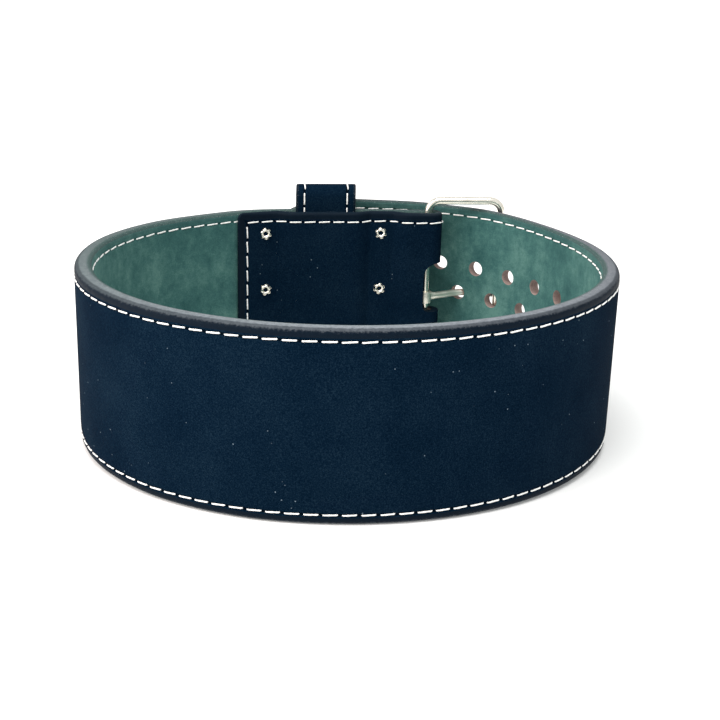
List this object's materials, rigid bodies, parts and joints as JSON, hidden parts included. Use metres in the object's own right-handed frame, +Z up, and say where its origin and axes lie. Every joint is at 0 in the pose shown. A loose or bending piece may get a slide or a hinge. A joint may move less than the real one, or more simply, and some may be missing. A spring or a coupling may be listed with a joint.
{
  "type": "weightlifting belt",
  "caption": "Thick suede-faced leather lifting belt, closed in a loop by a wire buckle with a prong, with a keeper loop, a riveted fold and rows of punched holes.",
  "frame": {"origin": "middle of the belt's bounding box, on the ground it stands on", "axes": "+Z up, -Y to the belt's front, +Y to the buckle at the back, +X to the right of the buckle seen from the front"},
  "size_m": [0.303, 0.3118, 0.1215],
  "materials": {
    "edge_leather": "painted edge, satin",
    "navy_suede": "suede nap, matt",
    "green_suede": "suede nap, matt",
    "nickel": "bright nickel plate"
  },
  "bodies": {
    "root": {"strap_core": "edge_leather", "outer_suede": "navy_suede", "lining_suede": "green_suede", "keeper_loop": "navy_suede", "buckle_frame": "nickel", "prong": "nickel", "rivet_1": "nickel", "rivet_2": "nickel", "rivet_3": "nickel", "rivet_4": "nickel", "rivet_5": "nickel", "rivet_6": "nickel"}
  },
  "joints": []
}
